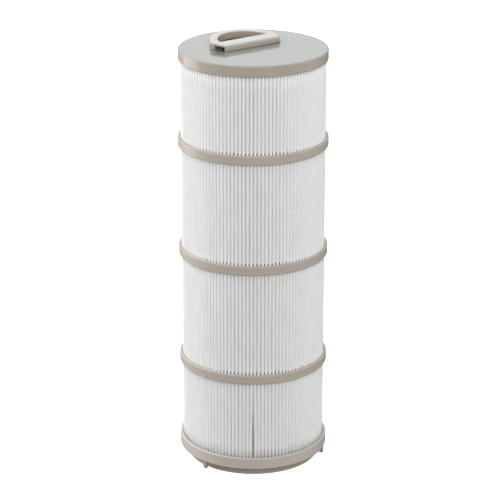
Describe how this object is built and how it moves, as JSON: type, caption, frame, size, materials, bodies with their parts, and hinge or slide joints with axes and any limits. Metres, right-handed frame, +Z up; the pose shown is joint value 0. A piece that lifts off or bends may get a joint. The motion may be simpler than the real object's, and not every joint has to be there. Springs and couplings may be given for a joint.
{
  "type": "filter cartridge",
  "caption": "Tall round pleated filter cartridge with a fold-down handle in its cap, outer bands, a perforated core and a twist-lock base with a sealed outlet.",
  "frame": {"origin": "on the cartridge's axis at the underside of the base collar", "axes": "+Z up the cartridge's axis, X along the handle's hinge, +Y towards the folded handle's loop"},
  "size_m": [0.1544, 0.1544, 0.4476],
  "materials": {
    "cap_plastic": "semi-gloss moulded, warm grey",
    "band_plastic": "semi-gloss moulded, warm grey",
    "core_plastic": "satin white",
    "filter_fabric": "white spun-bonded felt",
    "seam_adhesive": "translucent amber, dull",
    "potting_resin": "cast, slightly glossy",
    "seal_rubber": "matt black",
    "pin_plastic": "satin moulded, black"
  },
  "bodies": {
    "cartridge": {"bottom_cap": "cap_plastic", "outlet_seal": "seal_rubber", "bottom_potting": "potting_resin", "core_lower_half": "core_plastic", "core_coupling": "core_plastic", "core_upper_half": "core_plastic", "pleated_media": "filter_fabric", "seam_strip": "seam_adhesive", "lower_band": "band_plastic", "middle_band": "band_plastic", "upper_band": "band_plastic", "top_potting": "potting_resin", "top_cap": "cap_plastic", "hinge_pins": "pin_plastic"},
    "handle": {"handle": "cap_plastic"}
  },
  "joints": [
    {"name": "handle_hinge", "type": "hinge", "parent": "cartridge", "child": "handle", "pos_m": [0, 0.008, 0.4416], "axis": [1, 0, 0], "range_deg": [0, 90]}
  ]
}
